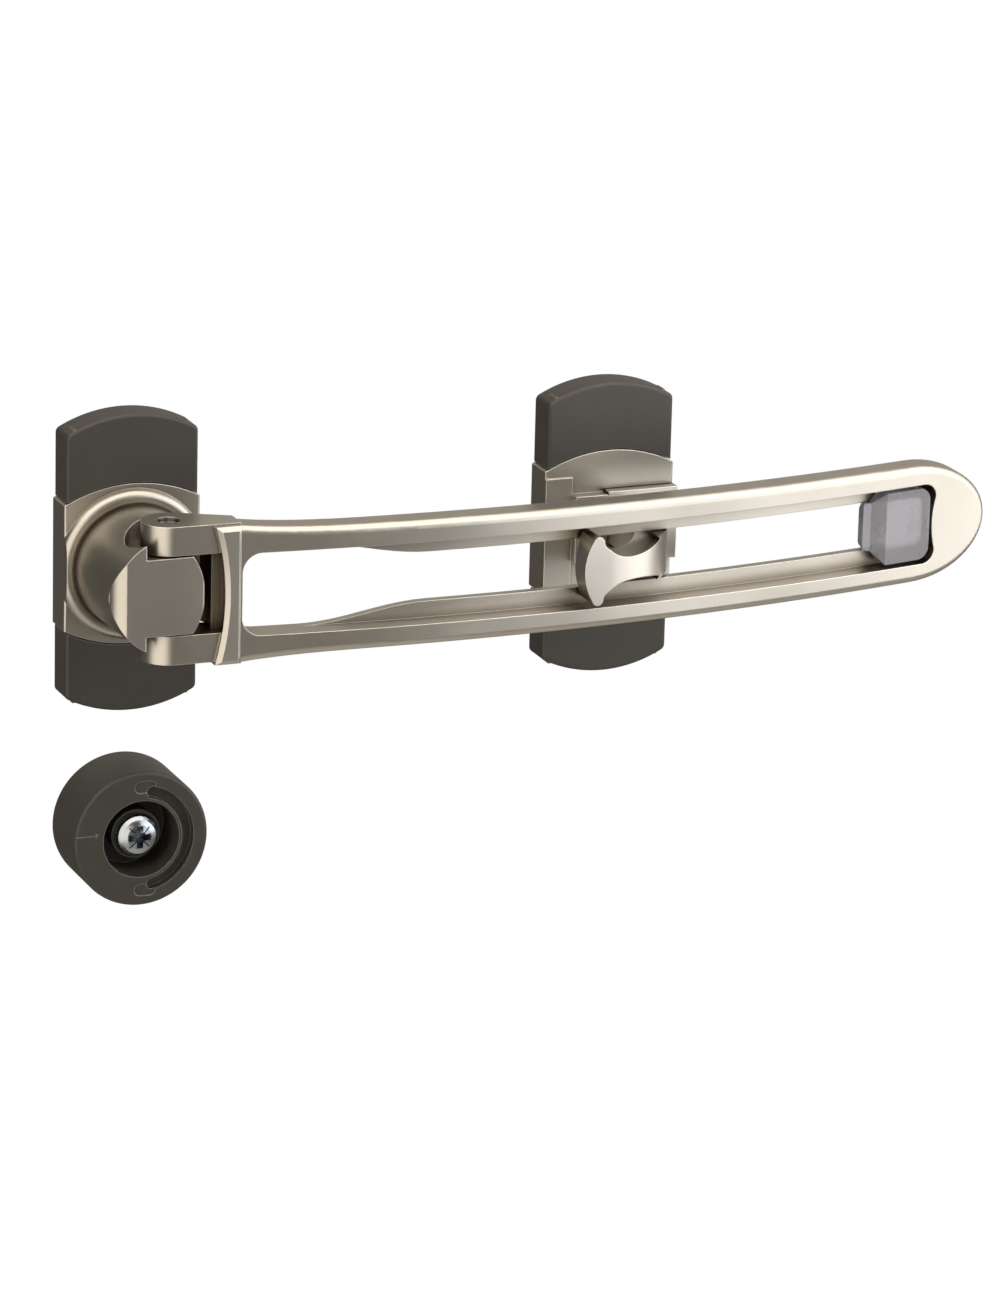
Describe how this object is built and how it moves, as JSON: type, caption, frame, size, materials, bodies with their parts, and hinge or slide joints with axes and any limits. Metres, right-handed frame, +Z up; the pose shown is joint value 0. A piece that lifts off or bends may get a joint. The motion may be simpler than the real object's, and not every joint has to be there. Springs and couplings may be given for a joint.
{
  "type": "door guard",
  "caption": "Swing-arm door guard: arched hinge plate with a bowed slotted arm, keeper plate whose whale-tail hook rides in the slot, and a round wall bumper",
  "frame": {"origin": "middle of the hinge plate's flat back, on the wall plane", "axes": "+X runs along the arm from the hinge to the nose, +Y points into the wall, +Z is up"},
  "size_m": [0.2162, 0.069, 0.1113],
  "materials": {
    "nickel": "satin nickel plate on a zinc alloy casting",
    "cap_plastic": "fine satin moulding, dark taupe grey",
    "buffer_plastic": "milky translucent moulding",
    "pin_steel": "turned",
    "screw_zinc": "bright zinc plate"
  },
  "bodies": {
    "base": {"hinge_base": "nickel", "hinge_cap_upper": "cap_plastic", "hinge_cap_lower": "cap_plastic", "hinge_pin": "pin_steel", "bumper": "cap_plastic", "bumper_screw": "screw_zinc"},
    "arm": {"arm": "nickel", "arm_buffer": "buffer_plastic"},
    "keeper": {"keeper_base": "nickel", "keeper_hook": "nickel", "keeper_hook_screw": "pin_steel", "keeper_cap_upper": "cap_plastic", "keeper_cap_lower": "cap_plastic"}
  },
  "joints": [
    {"name": "arm_swing", "type": "hinge", "parent": "base", "child": "arm", "pos_m": [0.001, -0.029, 0], "axis": [0, 0, -1], "range_deg": [0, 70]},
    {"name": "hook_turn", "type": "hinge", "parent": "arm", "child": "keeper", "pos_m": [0.0969, -0.0394, 0], "axis": [0, 0, -1], "range_deg": [-70, 0]}
  ],
  "couplings": [
    {"joint": "hook_turn", "follows": "arm_swing", "ratio": -1}
  ]
}
